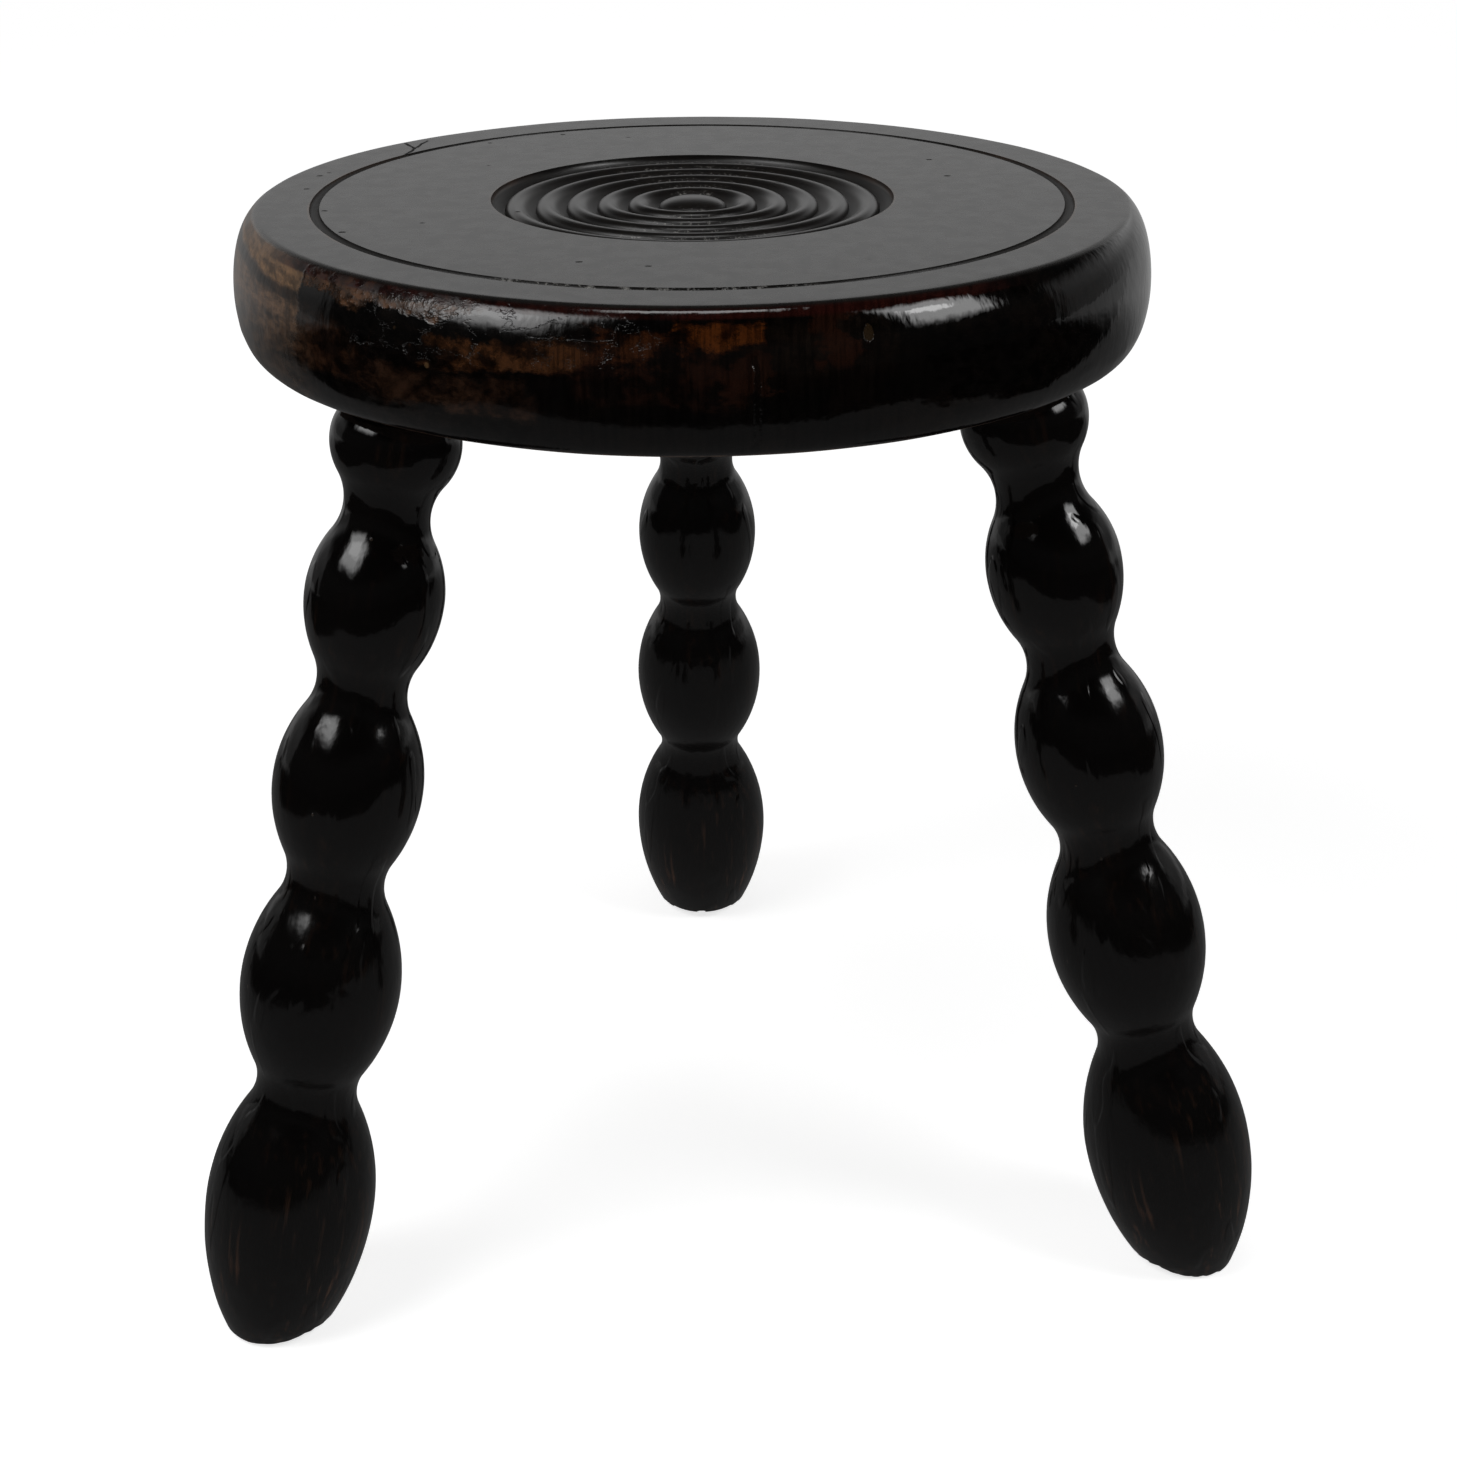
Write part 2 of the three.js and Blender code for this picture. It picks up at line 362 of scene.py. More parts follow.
class Nodes:
    """A node tree built from short calls. A value is a number, a colour or another node's output."""

    def __init__(self, owner):
        owner.use_nodes = True
        self.tree = owner.node_tree

    def add(self, kind, **settings):
        node = self.tree.nodes.new(kind)
        for name, value in settings.items():
            setattr(node, name, value)
        return node

    def put(self, socket, value):
        if isinstance(value, bpy.types.NodeSocket):
            self.tree.links.new(value, socket)
        elif isinstance(value, tuple) and len(value) == 3 and socket.type == "RGBA":
            socket.default_value = (*value, 1)
        else:
            socket.default_value = value

    def math(self, operation, a, b=0.0):
        node = self.add("ShaderNodeMath", operation=operation)
        self.put(node.inputs[0], a)
        self.put(node.inputs[1], b)
        return node.outputs[0]

    def multiply(self, *values):
        result = values[0]
        for value in values[1:]:
            result = self.math("MULTIPLY", result, value)
        return result

    def plus(self, *values):
        result = values[0]
        for value in values[1:]:
            result = self.math("ADD", result, value)
        return result

    def largest(self, *values):
        result = values[0]
        for value in values[1:]:
            result = self.math("MAXIMUM", result, value)
        return result

    def less(self, value):
        """1 - value."""
        return self.math("SUBTRACT", 1.0, value)

    def split(self, vector):
        """The x, y and z of a vector."""
        node = self.add("ShaderNodeSeparateXYZ")
        self.put(node.inputs[0], vector)
        return tuple(node.outputs)

    def ramp(self, value, low, high, to_low=0.0, to_high=1.0):
        """A smooth step of value from low to high."""
        node = self.add("ShaderNodeMapRange", interpolation_type="SMOOTHSTEP")
        for name, number in (
            ("Value", value),
            ("From Min", low),
            ("From Max", high),
            ("To Min", to_low),
            ("To Max", to_high),
        ):
            self.put(node.inputs[name], number)
        return node.outputs["Result"]

    def window(self, value, low, high, soft):
        """1 where value lies between low and high, fading to 0 over soft outside them."""
        return self.multiply(self.ramp(value, low - soft, low), self.ramp(value, high + soft, high))

    def blend(self, factor, a, b):
        """From the number a at factor 0 to the number b at factor 1."""
        node = self.add("ShaderNodeMix", data_type="FLOAT")
        self.put(node.inputs[0], factor)
        self.put(node.inputs[2], a)
        self.put(node.inputs[3], b)
        return node.outputs[0]


class Surface(Nodes):
    """A material in the object's own coordinates, round one Principled shader."""

    def __init__(self, name):
        self.material = bpy.data.materials.new(name)
        super().__init__(self.material)
        self.shader = self.tree.nodes["Principled BSDF"]
        self.point = self.add("ShaderNodeTexCoord").outputs["Object"]

    def mix(self, factor, a, b):
        """From the colour a at factor 0 to the colour b at factor 1."""
        node = self.add("ShaderNodeMix", data_type="RGBA")
        self.put(node.inputs[0], factor)
        self.put(node.inputs[6], a)
        self.put(node.inputs[7], b)
        return node.outputs[2]

    def shaded(self, colour, shade):
        """A colour times a number."""
        grey = self.add("ShaderNodeCombineColor")
        for channel in range(3):
            self.put(grey.inputs[channel], shade)
        product = self.add("ShaderNodeMix", data_type="RGBA", blend_type="MULTIPLY")
        product.inputs[0].default_value = 1
        self.put(product.inputs[6], colour)
        self.put(product.inputs[7], grey.outputs[0])
        return product.outputs[2]

    def coordinates(self):
        """The object's own x, y and z, in metres."""
        return self.split(self.point)

    def reach(self, x, y):
        """How far the point (x, y) is from the axis."""
        return self.math("SQRT", self.plus(self.multiply(x, x), self.multiply(y, y)))

    def scaled(self, scale, shift=(0, 0, 0), turn=0.0):
        """The object's own coordinates, first scaled, then turned about Z by degrees, then shifted."""
        node = self.add("ShaderNodeMapping", vector_type="POINT")
        self.put(node.inputs["Vector"], self.point)
        node.inputs["Rotation"].default_value = (0, 0, math.radians(turn))
        node.inputs["Location"].default_value = shift
        node.inputs["Scale"].default_value = scale
        return node.outputs[0]

    def noise(self, vector, detail=3.0, roughness=0.55, distortion=0.0):
        node = self.add("ShaderNodeTexNoise")
        self.put(node.inputs["Vector"], vector)
        node.inputs["Scale"].default_value = 1
        node.inputs["Detail"].default_value = detail
        node.inputs["Roughness"].default_value = roughness
        node.inputs["Distortion"].default_value = distortion
        return node.outputs["Fac"]

    def cells(self, vector, feature="F1"):
        node = self.add("ShaderNodeTexVoronoi", feature=feature)
        self.put(node.inputs["Vector"], vector)
        node.inputs["Scale"].default_value = 1
        return node.outputs["Distance"]

    def bump(self, height, distance, strength=1.0, normal=None):
        node = self.add("ShaderNodeBump")
        node.inputs["Strength"].default_value = strength
        node.inputs["Distance"].default_value = distance
        self.put(node.inputs["Height"], height)
        if normal is not None:
            self.put(node.inputs["Normal"], normal)
        return node.outputs["Normal"]

    def set(self, **values):
        for name, value in values.items():
            self.put(self.shader.inputs[name.replace("_", " ")], value)


# Base colours, linear. A stain in two tones has its dark and its light one.
BLACK_LACQUER = (0.0014, 0.0011, 0.0010)
CRACK_BLACK = (0.0012, 0.0009, 0.0008)
DARK_BROWN = (0.0026, 0.0016, 0.0012)
SMOKE_BROWN = (0.0066, 0.0042, 0.0030)
RED_BROWN = (0.0110, 0.0040, 0.0022)
STREAK_BROWN = (0.0150, 0.0050, 0.0026)
LOW_BROWN = (0.0150, 0.0068, 0.0036)
END_BROWN = (0.0180, 0.0075, 0.0036)
WARM_BROWN = (0.0200, 0.0066, 0.0030)
BACK_BROWN = (0.0220, 0.0100, 0.0048)
FRONT_BROWN = (0.0270, 0.0084, 0.0029)
# painted highlight colour, for the rim just below the left lamp's reflection
PAINTED_HIGHLIGHT_AMBER = (0.0360, 0.0135, 0.0048)
ORANGE_BROWN = (0.048, 0.0132, 0.0030)
SPOT_ORANGE = (0.0700, 0.0280, 0.0090)
EDGE_TAN = (0.060, 0.0290, 0.0130)
END_TAN = (0.092, 0.0500, 0.0260)
TAN = (0.120, 0.066, 0.030)
BURGUNDY = (0.0165, 0.0038, 0.0028)
PALE_CHIP = (0.085, 0.050, 0.022)
TOP_STAIN = ((0.0048, 0.0040, 0.0036), (0.0082, 0.0064, 0.0052))
UNDERSIDE_STAIN = ((0.014, 0.0075, 0.0048), (0.040, 0.021, 0.012))
DUST = (0.30, 0.29, 0.27)
LEG_STAIN = ((0.0018, 0.0016, 0.0016), (0.0032, 0.0025, 0.0022))
LEG_WORN = (0.034, 0.0150, 0.0078)
LEG_SPECK = (0.045, 0.034, 0.026)
WEDGE_STAIN = ((0.30, 0.18, 0.085), (0.47, 0.31, 0.16))
WEDGE_PORE = (0.17, 0.095, 0.045)
PAPER = ((0.86, 0.86, 0.86), (0.88, 0.88, 0.88))

VARNISH_IOR = 1.5
# Degrees the grain's noise is turned by after it is stretched. It changes the pattern, and the grain
# still runs from front to back.
NOISE_TURN = 6

# Where the dim floor that the varnish reflects ends, like a table, in metres.
TABLE_EDGE = -0.60
TABLE_HALF_WIDTH = 0.62


class SeatVarnish(Surface):
    """The seat's finish. It finds the places and noises first, and then makes the looks of them.

    A place is 1 where it holds and 0 elsewhere. Turns are in degrees round the seat from its front,
    positive to the right, depths in mm below the top, and across is the radius in mm."""

    def __init__(self):
        super().__init__("seat_varnish")
        self.find_places()
        self.find_noises()
        self.find_worn_end()
        self.find_marks()

    def find_places(self):
        self.x, self.y, height = self.coordinates()
        front_turn = self.math("ARCTAN2", self.x, self.multiply(self.y, -1.0))
        self.turn = self.multiply(front_turn, 180 / math.pi)
        self.depth = self.multiply(height, -1 / MM)
        self.across = self.multiply(self.reach(self.x, self.y), 1 / MM)
        self.rim = self.multiply(self.ramp(self.depth, 0.15, 0.9), self.ramp(self.across, 120, 126))
        self.on_dish = self.ramp(self.across, DISH_RADIUS + 0.4, DISH_RADIUS - 0.2)
        self.in_groove = self.window(self.across, GROOVE_RADIUS - 1.3, GROOVE_RADIUS + 1.3, 0.3)
        self.underside = self.ramp(self.depth, SEAT_THICKNESS - 1.0, SEAT_THICKNESS - 0.1)

    def find_noises(self):
        """Grain of the board, its mottled stain, and two wandering noises that make outlines ragged."""
        self.grain = self.noise(self.scaled((330, 14, 330), turn=NOISE_TURN), 4, 0.6, 0.3)
        self.fine_grain = self.noise(self.scaled((1500, 40, 1500), turn=NOISE_TURN), 3, 0.6)
        self.mottle = self.noise(self.scaled((38, 38, 55), (3, 1, 2)), 4, 0.62, 0.4)
        self.fine_mottle = self.noise(self.scaled((140, 140, 190), (1, 5, 2)), 4, 0.65)
        self.uprights = self.noise(self.scaled((900, 60, 70), (1, 1, 6)), 3, 0.6)
        self.blotch = self.ramp(self.plus(self.mottle, self.multiply(self.fine_mottle, 0.35)), 0.62, 0.78)
        self.wander_a = self.plus(self.noise(self.scaled((52, 52, 90), (6, 2, 1)), 5, 0.68), -0.5)
        self.wander_b = self.plus(self.noise(self.scaled((52, 52, 90), (1, 8, 3)), 5, 0.68), -0.5)
        self.loose_turn = self.plus(self.turn, self.multiply(self.wander_a, 17.0))
        self.loose_depth = self.plus(self.depth, self.multiply(self.wander_b, 17.0))

    def patch(self, left, right, high, low, side_soft, edge_soft):
        """A ragged region of the rim between two turns and two depths."""
        return self.multiply(
            self.window(self.loose_turn, left, right, side_soft),
            self.window(self.loose_depth, high, low, edge_soft),
        )

    def streaked(self, region, amount, low, high):
        """A region broken up by fine mottling."""
        return self.multiply(region, self.ramp(self.fine_mottle, low, high, 1.0 - amount, 1.0))

    def find_worn_end(self):
        """The thinly stained left side, with bare wood above a dark band, and spots along the arris."""
        high = self.ramp(self.plus(self.turn, self.multiply(self.wander_a, 5.0)), -51.1, -52.0)
        low = self.ramp(self.plus(self.turn, self.multiply(self.wander_a, 14.0)), -47, -55)
        end = self.blend(self.ramp(self.depth, 12, 22), high, low)
        end = self.multiply(end, self.ramp(self.loose_turn, -125, -92))
        band_depth = self.plus(self.multiply(self.plus(self.turn, 78.0), 0.16), 3.2)
        below_band = self.plus(
            self.depth, self.multiply(band_depth, -1.0), self.multiply(self.wander_b, 5.0)
        )
        bare = self.multiply(end, self.ramp(below_band, 1.6, -0.6), self.ramp(self.turn, -84, -76))
        lines = self.noise(self.scaled((260, 7, 700), (4, 2, 9), NOISE_TURN), 4, 0.65)
        tone = self.plus(self.multiply(lines, 0.8), self.multiply(self.mottle, 0.35))
        self.end_stain = self.multiply(
            self.ramp(tone, 0.36, 0.72, 0.25, 0.9), end, self.ramp(self.depth, 31, 8, 0.2, 1.0)
        )
        self.end_bare = self.multiply(bare, self.ramp(lines, 0.3, 0.6, 0.6, 1.0))
        self.end_band = self.multiply(end, self.window(below_band, 1.2, 3.0, 1.4))
        self.arris_spots = self.streaked(self.patch(-49, -27, -3, 4.2, 3, 1.8), 0.7, 0.42, 0.56)
        worn = self.largest(bare, self.arris_spots, self.multiply(end, 0.7))
        self.worn = self.multiply(worn, self.rim)

    def find_marks(self):
        """Pits and cracks, the chip, small nicks, and dust in the groove and the dish."""
        top = self.less(self.rim)
        pit_field = self.cells(self.scaled((55, 75, 55), (5, 2, 0), NOISE_TURN + 90))
        pit_pick = self.ramp(self.noise(self.scaled((30, 30, 30), (4, 4, 4)), 2, 0.5), 0.44, 0.52)
        pits = self.multiply(self.ramp(pit_field, 0.075, 0.03), pit_pick, top)
        self.top_marks = self.largest(pits, self.multiply(self.forked_crack(), top))
        cracks = self.ramp(self.cells(self.ragged_cells(), "DISTANCE_TO_EDGE"), 0.022, 0.006)
        where = self.multiply(self.patch(-38, -6, 3, 13, 3, 2), self.ramp(self.mottle, 0.42, 0.52))
        cracks = self.multiply(cracks, where, self.rim, 0.7)
        seam_turn = self.plus(self.turn, self.multiply(self.wander_b, 2.0))
        seam = self.multiply(self.window(seam_turn, 6.4, 6.8, 0.25), self.window(self.depth, 12, 34, 2))
        self.marks = self.largest(cracks, self.top_marks, self.multiply(seam, 0.8))

        chip_reach = self.plus(
            self.math("POWER", self.multiply(self.plus(self.turn, -19.0), 2.5), 2.0),
            self.math("POWER", self.multiply(self.plus(self.depth, -7.6), 0.65), 2.0),
            self.multiply(self.plus(self.fine_mottle, -0.5), 12.0),
        )
        self.chip = self.ramp(chip_reach, 0.8, 0.1)
        nicks = self.ramp(self.cells(self.scaled((70, 70, 70), (4, 1, 1))), 0.07, 0.035)
        where = self.multiply(self.window(self.turn, -47, -20, 3), self.window(self.depth, 1.0, 20, 1))
        self.nicks = self.multiply(nicks, where)

        torn = self.multiply(self.in_groove, self.window(self.turn, -22, 10, 8))
        flecks = self.ramp(self.noise(self.scaled((420, 420, 420), (7, 3, 1)), 3, 0.7), 0.50, 0.60)
        self.groove_dust = self.multiply(torn, flecks)
        dish_dust = self.ramp(self.noise(self.scaled((900, 900, 900), (2, 9, 4)), 2, 0.7), 0.56, 0.66)
        aside = self.math("ABSOLUTE", self.math("SINE", self.multiply(self.turn, math.pi / 180)))
        where = self.multiply(self.on_dish, self.ramp(self.depth, 1.4, 3.0), self.ramp(aside, 0.6, 0.25))
        self.dish_dust = self.multiply(dish_dust, where, 0.7)

    def forked_crack(self):
        """A crack from the groove to the rim at the back left, with a short branch. Places in metres."""
        leaning = self.plus(
            self.x, self.multiply(self.wander_a, 0.005), self.multiply(self.plus(self.y, -0.078), -0.19)
        )
        stem = self.window(leaning, -0.0929, -0.0923, 0.0003)
        stem = self.multiply(stem, self.window(self.y, 0.067, 0.089, 0.001))
        branching = self.plus(leaning, self.multiply(self.plus(self.y, -0.076), 0.7))
        branch = self.window(branching, -0.0929, -0.0923, 0.0004)
        branch = self.multiply(branch, self.window(self.y, 0.076, 0.085, 0.001))
        return self.largest(stem, branch)

    def ragged_cells(self):
        """Coordinates for cracked lacquer, pushed about so that its cracks aren't straight."""
        push = self.add("ShaderNodeVectorMath", operation="SCALE")
        push.inputs[0].default_value = (1, 1, 1)
        self.put(push.inputs["Scale"], self.multiply(self.wander_a, 3.0))
        pushed = self.add("ShaderNodeVectorMath", operation="ADD")
        self.put(pushed.inputs[0], self.scaled((50, 50, 110)))
        self.put(pushed.inputs[1], push.outputs[0])
        return pushed.outputs[0]

    def rim_colour(self):
        """The rim, from the lacquer down to bare worn wood, with a painted amber highlight below the left
        lamp's reflection.
        """
        low_left = self.streaked(self.patch(-36, -21, 20.5, 28, 4, 3), 0.8, 0.36, 0.60)
        far_left = self.streaked(self.patch(-50, -41, 14, 24, 3, 4), 0.8, 0.42, 0.60)
        front_low = self.streaked(self.patch(-9, 5, 10, 21, 4, 5), 0.9, 0.42, 0.62)
        right = self.streaked(self.patch(6, 20, 4, 15, 3, 4), 0.85, 0.40, 0.62)
        lap = self.patch(3.5, 8.0, 13, 20, 1.0, 2)
        streak = self.multiply(
            self.window(self.loose_turn, 14.2, 16.6, 1.0), self.window(self.depth, 2, 14, 3)
        )
        near_front = self.streaked(self.patch(-17, -9, 12.0, 15.5, 2.5, 2), 0.85, 0.42, 0.60)
        # painted highlight: amber colour on the rim below the left lamp's reflection, carrying the shine
        # further down than the lamp reaches
        painted_highlight_below = self.streaked(self.patch(-28, -13, 10.5, 15, 3, 2.5), 0.85, 0.38, 0.58)
        behind = self.multiply(
            self.ramp(self.math("ABSOLUTE", self.turn), 88, 100),
            self.blotch,
            self.window(self.depth, 3, 26, 6),
        )
        front_left = self.streaked(self.patch(-9.2, -2.6, 5.8, 11.0, 1.5, 2.0), 0.85, 0.40, 0.58)
        front_middle = self.streaked(self.patch(-0.4, 5.2, 3.8, 7.8, 1.3, 2.0), 0.8, 0.36, 0.54)
        arris = self.multiply(
            self.window(self.depth, 0.4, 2.2, 0.8),
            self.window(self.turn, -52, 28, 16),
            self.ramp(self.across, 124, 129),
            self.ramp(self.mottle, 0.30, 0.50),
        )
        colour = BLACK_LACQUER
        for share, place, stain in (
            (0.6, self.blotch, DARK_BROWN),
            (0.8, low_left, LOW_BROWN),
            (0.7, far_left, END_BROWN),
            (0.7, front_low, RED_BROWN),
            (0.6, right, SMOKE_BROWN),
            (0.7, lap, RED_BROWN),
            (0.6, streak, STREAK_BROWN),
            (0.8, near_front, WARM_BROWN),
            (0.9, painted_highlight_below, PAINTED_HIGHLIGHT_AMBER),
            (0.6, behind, BACK_BROWN),
            (0.85, front_left, FRONT_BROWN),
            (0.95, front_middle, ORANGE_BROWN),
            (1.0, self.end_stain, END_TAN),
            (1.0, self.end_bare, TAN),
            (0.8, self.end_band, DARK_BROWN),
            (0.85, self.arris_spots, SPOT_ORANGE),
            (1.0, arris, BURGUNDY),
        ):
            colour = self.mix(self.multiply(place, share), colour, stain)
        along = self.ramp(self.grain, 0.36, 0.64, 0.4, 1.3)
        end_on = self.ramp(self.uprights, 0.36, 0.6, 0.55, 1.1)
        shade = self.blend(self.window(self.turn, -14, 24, 5), along, end_on)
        shade = self.multiply(shade, self.ramp(self.fine_grain, 0.2, 0.8, 0.75, 1.2))
        pale = self.largest(self.multiply(self.chip, 0.16), self.multiply(self.nicks, 0.5))
        return self.mix(pale, self.shaded(colour, shade), PALE_CHIP)

    def colour(self):
        top_colour = self.mix(self.ramp(self.grain, 0.35, 0.7), *TOP_STAIN)
        colour = self.mix(self.rim, top_colour, self.rim_colour())
        groove_edge = self.window(self.across, GROOVE_RADIUS + 1.5, GROOVE_RADIUS + 2.0, 0.35)
        dish_edge = self.window(self.across, DISH_RADIUS - 0.2, DISH_RADIUS + 0.5, 0.35)
        edges = self.multiply(
            self.plus(groove_edge, self.multiply(dish_edge, 0.7)),
            self.window(self.math("ABSOLUTE", self.turn), 62, 112, 18),
            self.ramp(self.mottle, 0.4, 0.6, 0.2, 0.7),
        )
        colour = self.mix(edges, colour, EDGE_TAN)
        dust = self.largest(self.multiply(self.groove_dust, 0.8), self.dish_dust)
        colour = self.mix(dust, colour, DUST)
        bare_board = self.mix(self.ramp(self.grain, 0.38, 0.62), *UNDERSIDE_STAIN)
        colour = self.mix(self.underside, colour, bare_board)
        return self.mix(self.multiply(self.marks, 0.85), colour, CRACK_BLACK)

    def roughness(self):
        """Satin on the top, wet-looking on the rim, and dry where it is worn, hollow or bare."""
        wet = self.multiply(
            self.ramp(self.fine_mottle, 0.3, 0.7, 0.09, 0.15), self.ramp(self.turn, -2, 16, 1.0, 0.55)
        )
        roughness = self.blend(self.worn, wet, 0.38)
        roughness = self.blend(self.rim, self.ramp(self.fine_mottle, 0.3, 0.7, 0.26, 0.29), roughness)
        dusty = self.largest(self.groove_dust, self.dish_dust)
        roughness = self.blend(dusty, roughness, 0.8)
        roughness = self.blend(self.on_dish, roughness, 0.28)
        creases = self.multiply(self.on_dish, self.ramp(self.depth, 1.9, 3.2))
        wall = self.window(self.across, DISH_RADIUS - 4.2, DISH_RADIUS - 0.6, 0.4)
        roughness = self.blend(self.largest(creases, self.in_groove, wall), roughness, 0.5)
        roughness = self.blend(self.top_marks, roughness, 0.95)
        return self.blend(self.underside, roughness, 0.6)

    def relief(self):
        peel = self.noise(self.scaled((190, 190, 190), (3, 7, 1)), 2, 0.5)
        brushed = self.noise(self.scaled((420, 420, 45), (3, 7, 1)), 2, 0.5)
        hollows = self.largest(self.multiply(self.chip, 0.5), self.multiply(self.worn, 0.3))
        normal = None
        for height, distance, strength in (
            (self.multiply(peel, self.rim), 0.00022, 0.5),
            (self.multiply(brushed, self.rim), 0.00010, 0.6),
            (self.multiply(self.fine_grain, self.less(self.rim)), 0.00003, 0.5),
            (self.multiply(self.marks, -1.0), 0.0004, 0.8),
            (self.groove_dust, 0.0008, 0.9),
            (self.multiply(hollows, -1.0), 0.0006, 0.6),
        ):
            normal = self.bump(height, distance, strength, normal)
        return normal


def seat_material():
    s = SeatVarnish()
    s.set(Base_Color=s.colour(), Roughness=s.roughness(), Normal=s.relief(), IOR=VARNISH_IOR)
    return s.material


def leg_material():
    """Near-black varnish, thinner and worn towards the foot. Distances down the leg are in mm."""
    s = Surface("leg_varnish")
    down = s.multiply(s.coordinates()[2], -1 / MM)
    grain = s.noise(s.scaled((420, 420, 16), (2, 5, 3)), 4, 0.6, 0.3)
    mottle = s.noise(s.scaled((45, 45, 22), (6, 2, 8)), 4, 0.6, 0.3)
    foot = s.ramp(down, 225, 305)
    streaks = s.multiply(s.ramp(grain, 0.52, 0.68), s.ramp(mottle, 0.42, 0.62))
    worn = s.multiply(streaks, s.plus(s.multiply(foot, 0.8), 0.12))
    colour = s.mix(s.multiply(mottle, 0.5), *LEG_STAIN)
    colour = s.mix(worn, colour, LEG_WORN)
    specks = s.ramp(s.cells(s.scaled((170, 170, 150), (1, 1, 1))), 0.10, 0.05)
    speck_pick = s.ramp(s.noise(s.scaled((60, 60, 60), (5, 5, 9)), 1, 0.5), 0.60, 0.66)
    specks = s.multiply(specks, speck_pick)
    colour = s.mix(s.multiply(specks, 0.5), colour, LEG_SPECK)
    roughness = s.plus(s.ramp(mottle, 0.3, 0.7, 0.0, 0.05), s.ramp(down, 50, 210, 0.075, 0.135))
    roughness = s.blend(s.multiply(foot, 0.7), roughness, 0.22)
    wave = s.noise(s.scaled((85, 85, 50), (3, 1, 4)), 3, 0.5)
    brushed = s.noise(s.scaled((520, 520, 40), (3, 7, 1)), 2, 0.5)
    peel = s.noise(s.scaled((260, 260, 200), (8, 1, 4)), 2, 0.5)
    drips = s.ramp(s.noise(s.scaled((120, 120, 26), (2, 2, 5)), 1, 0.5), 0.60, 0.68)
    normal = None
    for height, distance, strength in (
        (wave, 0.0008, 0.6),
        (drips, 0.0004, 0.6),
        (brushed, 0.00008, 0.5),
        (peel, 0.00012, 0.5),
        (specks, 0.0003, 0.7),
    ):
        normal = s.bump(height, distance, strength, normal)
    s.set(Base_Color=colour, Roughness=roughness, Normal=normal, IOR=VARNISH_IOR)
    return s.material


def wedge_material():
    s = Surface("bare_wedge_wood")
    grain = s.noise(s.scaled((60, 900, 900)), 4, 0.6, 0.4)
    pores = s.noise(s.scaled((200, 3000, 3000)), 2, 0.6)
    colour = s.mix(s.ramp(grain, 0.35, 0.65), *WEDGE_STAIN)
    colour = s.mix(s.ramp(pores, 0.58, 0.70), colour, WEDGE_PORE)
    roughness = s.ramp(pores, 0.3, 0.7, 0.55, 0.7)
    s.set(Base_Color=colour, Roughness=roughness, Normal=s.bump(grain, 0.0002, 0.4))
    return s.material


def floor_material():
    """White paper, a little dimmer by the stool so its soft shadow shows, and clear from below."""
    s = Surface("floor_paper")
    x, y, _ = s.coordinates()
    tone = s.ramp(s.noise(s.scaled((6, 6, 6)), 2, 0.5), 0.3, 0.7)
    glow = s.ramp(s.reach(x, y), 0.3, 1.0, 0.76, 0.95)
    s.set(Base_Color=s.mix(tone, *PAPER), Roughness=0.9, Specular_IOR_Level=0.1)
    s.set(Emission_Color=(1, 1, 1), Emission_Strength=glow)
    clear = s.add("ShaderNodeBsdfTransparent")
    either = s.add("ShaderNodeMixShader")
    s.put(either.inputs[0], s.add("ShaderNodeNewGeometry").outputs["Backfacing"])
    s.put(either.inputs[1], s.shader.outputs[0])
    s.put(either.inputs[2], clear.outputs[0])
    s.put(s.tree.nodes["Material Output"].inputs["Surface"], either.outputs[0])
    return s.material


def mirrored_floor_material():
    """The dim floor the varnish reflects: grey under the stool, paler behind, dark at the camera's end."""
    s = Surface("mirrored_floor")
    x, y, _ = s.coordinates()
    near = s.ramp(y, TABLE_EDGE - 0.02, TABLE_EDGE + 0.02)
    aside = s.plus(s.math("ABSOLUTE", x), s.multiply(s.largest(y, 0.0), -1.0))
    table = s.ramp(aside, TABLE_HALF_WIDTH + 0.03, TABLE_HALF_WIDTH - 0.03)
    far = s.ramp(y, 0.45, 1.3)
    glow = s.plus(s.multiply(near, table, 0.098), s.multiply(far, 0.27), 0.004)
    s.set(Base_Color=(0, 0, 0), Specular_IOR_Level=0.0, Roughness=1.0)
    s.set(Emission_Color=(1, 1, 1), Emission_Strength=glow)
    return s.material


# ---------------------------------------------------------------- pieces

# Radii, and depths below the top, in millimetres.
RIM_START = 128
RIM_FADE = 6
CALM_DEPTH = 6
SAG_DEPTH = 32.5
SAG_HALF_HEIGHT = 1.6


def seat_relief(points, normals):
    """Slight hand-made unevenness: a rim a little out of round, and lacquer sags low on the rim.

    The top is calmer than the rim, and the flat underside and the dome's apex have none."""
    radius = np.hypot(points[:, 0], points[:, 1])
    height = points[:, 2]
    relief = waviness(points, 70, 0.22, 1)
    relief += waviness(points, 17, 0.05, 2)
    outer = np.clip((radius - RIM_START) / RIM_FADE, 0, 1)
    from_sag = height + SAG_DEPTH + waviness(points, 24, 2.0, 3)
    sag_band = np.exp(-((from_sag / SAG_HALF_HEIGHT) ** 2))
    relief += outer * sag_band * (0.10 + waviness(points, 12, 0.10, 4))
    top = height > -CALM_DEPTH
    flat = np.abs(normals[:, 2]) > 0.999
    relief = np.where(flat & ~top, 0, relief)
    relief = np.where(top, relief * (0.25 + 0.75 * outer), relief)
    return relief * np.where(radius < 2, 0, 1)


def leg_relief(seed):
    """Similar unevenness for one leg, with none on its tenon."""
    def relief(points, normals):
        total = waviness(points, 45, 0.22, seed) + waviness(points, 14, 0.05, seed + 3)
        tenon = points[:, 2] > -SHOULDER_GAP - 0.1
        return np.where(tenon, 0, total)
    return relief


def paint(piece, material):
    """One material, in place of any the piece had."""
    piece.data.materials.clear()
    piece.data.materials.append(material)


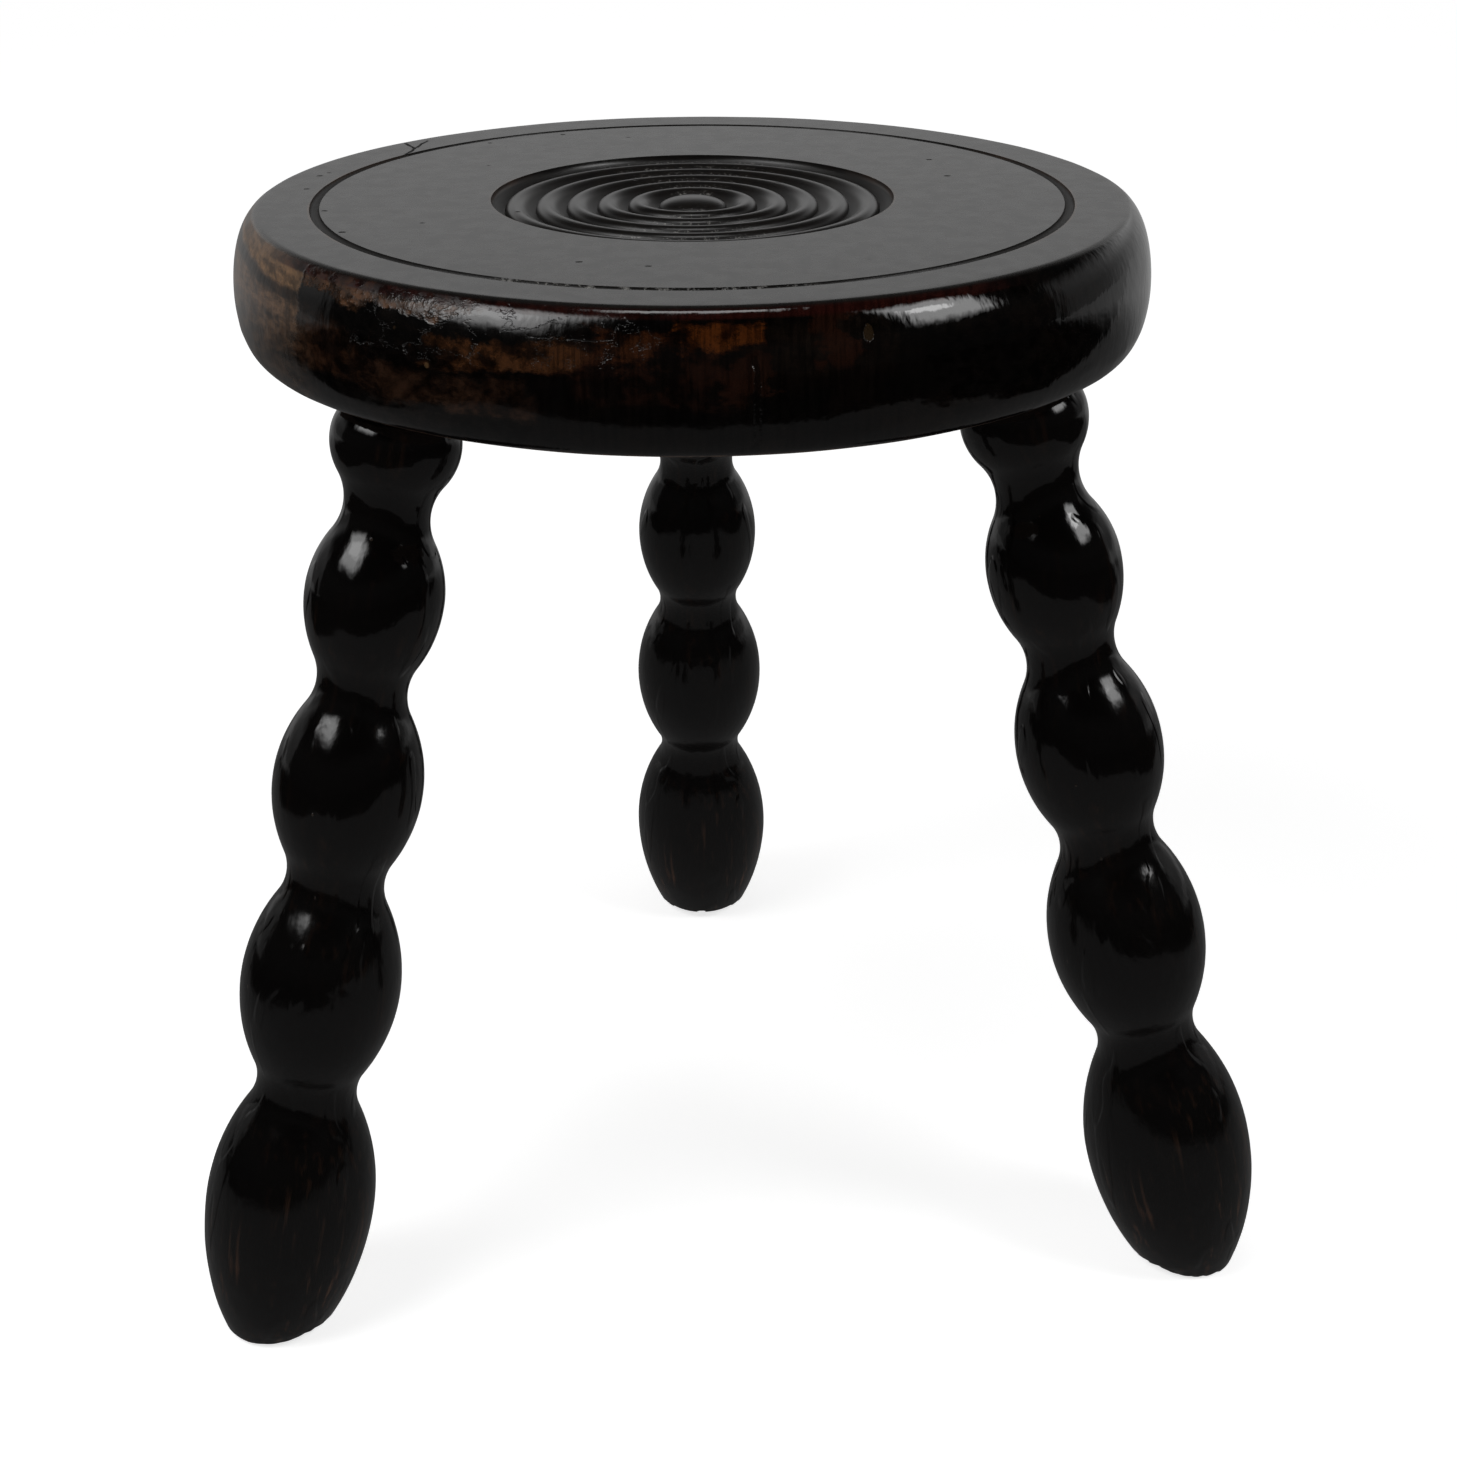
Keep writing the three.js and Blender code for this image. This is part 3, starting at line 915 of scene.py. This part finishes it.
legs = {}
cutters = []
for number, (place, (at_seat, at_floor)) in enumerate(LEGS.items()):
    seat_point = polar(*at_seat, UNDERSIDE)
    foot_point = polar(*at_floor, 0)
    placed = leg_frame(seat_point, foot_point)
    length = (seat_point - foot_point).length / MM
    upright = [(radius, -down) for radius, down in leg_outline(length)][::-1]
    leg = revolve("turned_leg_" + place, upright, segments=96, bump=leg_relief(10 * number + 20))
    leg.matrix_world = placed
    trim_foot(leg, placed, foot_point)
    cut(leg, [kerf_cutter(placed)])
    legs[place] = leg
    cutters.append(socket_cutter(placed))

seat = revolve("turned_seat", seat_outline(), segments=480, bump=seat_relief)
seat.location = (AXIS.x, AXIS.y, TOP)
cut(seat, cutters)
smooth(seat)
paint(seat, seat_material())
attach(seat, "root")
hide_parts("seat")

varnish = leg_material()
for place, leg in legs.items():
    smooth(leg)
    paint(leg, varnish)
    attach(leg, "root")
    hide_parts("leg_" + place)

wedge_wood = wedge_material()
for place in LEGS:
    paint(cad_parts["wedge_" + place], wedge_wood)


# ---------------------------------------------------------------- floor, light and camera

FLOOR_REACH = 12
FLOOR_GAP = 0.0003  # keeps the floor's face clear of the feet's
MIRROR_GAP = 0.001  # and the mirrored floor's clear of the floor's


def floor_panel(name, depth, material):
    """A square stage panel below the stool, FLOOR_REACH to each side."""
    corners = [
        (x * FLOOR_REACH, y * FLOOR_REACH, -depth)
        for x, y in ((-1, -1), (1, -1), (1, 1), (-1, 1))
    ]
    mesh = bpy.data.meshes.new(name)
    mesh.from_pydata(corners, [], [(0, 1, 2, 3)])
    mesh.materials.append(material)
    piece = bpy.data.objects.new(name, mesh)
    bpy.context.scene.collection.objects.link(piece)
    return piece


floor = floor_panel("floor", FLOOR_GAP, floor_material())
floor.visible_glossy = False
mirrored_floor = floor_panel("mirrored_floor", MIRROR_GAP, mirrored_floor_material())
mirrored_floor.visible_camera = False
mirrored_floor.visible_diffuse = False
mirrored_floor.visible_shadow = False


def world_light():
    """A pale room: bright low behind and beside the stool, dark at the camera's end and overhead.

    Where the camera sees it directly, it is plain white."""
    world = bpy.data.worlds.new("studio")
    bpy.context.scene.world = world
    w = Nodes(world)
    _, back, up = w.split(w.add("ShaderNodeTexCoord").outputs["Generated"])
    beside = w.ramp(back, 0.10, 0.22, 0.035, 0.36)
    middle = w.ramp(back, 0.45, 0.90, 0, 0.70)
    low = w.ramp(up, 0.27, 0.50, 0.62, 0.04)
    horizon = w.ramp(up, 0.08, 0.26, 0.62, 1)
    room = w.multiply(w.plus(beside, middle), low, horizon)
    seen_by_camera = w.add("ShaderNodeLightPath").outputs["Is Camera Ray"]
    background = w.tree.nodes["Background"]
    w.put(background.inputs["Strength"], w.blend(seen_by_camera, room, 1.0))
    w.put(background.inputs["Color"], (1, 1, 1))


world_light()
HEART = AXIS + Vector((0, 0, 0.25))  # what the lamps aim at


def softbox(name, place, width, height, radiance):
    """An area light aimed at HEART, brightest at its middle and unseen by the camera."""
    lamp = bpy.data.lights.new(name, "AREA")
    lamp.shape = "RECTANGLE"
    lamp.size = width
    lamp.size_y = height
    lamp.energy = radiance * math.pi * width * height
    n = Nodes(lamp)
    across, up, _ = n.split(n.add("ShaderNodeNewGeometry").outputs["Parametric"])
    strength = 1.0
    for place_on_side in (across, up):
        from_middle = n.math("ABSOLUTE", n.plus(place_on_side, -0.5))
        strength = n.multiply(strength, n.ramp(from_middle, 0.5, 0.28, 0.12, 1.25))
    n.put(n.tree.nodes["Emission"].inputs["Strength"], strength)
    box = bpy.data.objects.new(name, lamp)
    box.location = place
    box.rotation_euler = (HEART - place).to_track_quat("-Z", "Y").to_euler()
    box.visible_camera = False
    bpy.context.scene.collection.objects.link(box)


for name, offset, width, height, radiance in (
    ("softbox_left", (-0.61, -0.42, 0.98), 0.70, 0.70, 2.6),
    ("softbox_left_core", (-0.53, -0.37, 0.88), 0.32, 0.22, 1.5),
    ("softbox_right", (0.68, -0.33, 0.83), 0.42, 0.54, 3.0),
    ("softbox_right_core", (0.60, -0.33, 0.79), 0.18, 0.12, 4.0),
    ("overhead", (0, -0.1, 1.7), 0.7, 0.35, 3.0),
):
    softbox(name, AXIS + Vector(offset), width, height, radiance)

# The camera stands in front of the seat's axis, a little above the seat. Metres and radians; the lens
# in millimetres, and its shifts as shares of the picture's width.
CAMERA_BACK = 0.6986
CAMERA_HEIGHT = 0.4958
CAMERA_TURN = 0.01133
CAMERA_TILT = -0.44977
CAMERA_ROLL = -0.00524
LENS = 56.0
SHIFT_RIGHT = 0.0050
SHIFT_UP = 0.0142
view = bpy.data.cameras.new("camera")
view.lens = LENS
view.sensor_width = 36
view.shift_x = SHIFT_RIGHT
view.shift_y = SHIFT_UP
view.clip_start = 0.01
view.clip_end = 100
camera = bpy.data.objects.new("camera", view)
camera.location = AXIS + Vector((0, -CAMERA_BACK, CAMERA_HEIGHT))
looking = Matrix.Rotation(-CAMERA_TURN, 3, "Z") @ Matrix.Rotation(math.pi / 2 + CAMERA_TILT, 3, "X")
camera.rotation_euler = (looking @ Matrix.Rotation(CAMERA_ROLL, 3, "Z")).to_euler()
bpy.context.scene.collection.objects.link(camera)
bpy.context.scene.camera = camera
bpy.context.scene.view_settings.view_transform = "Standard"
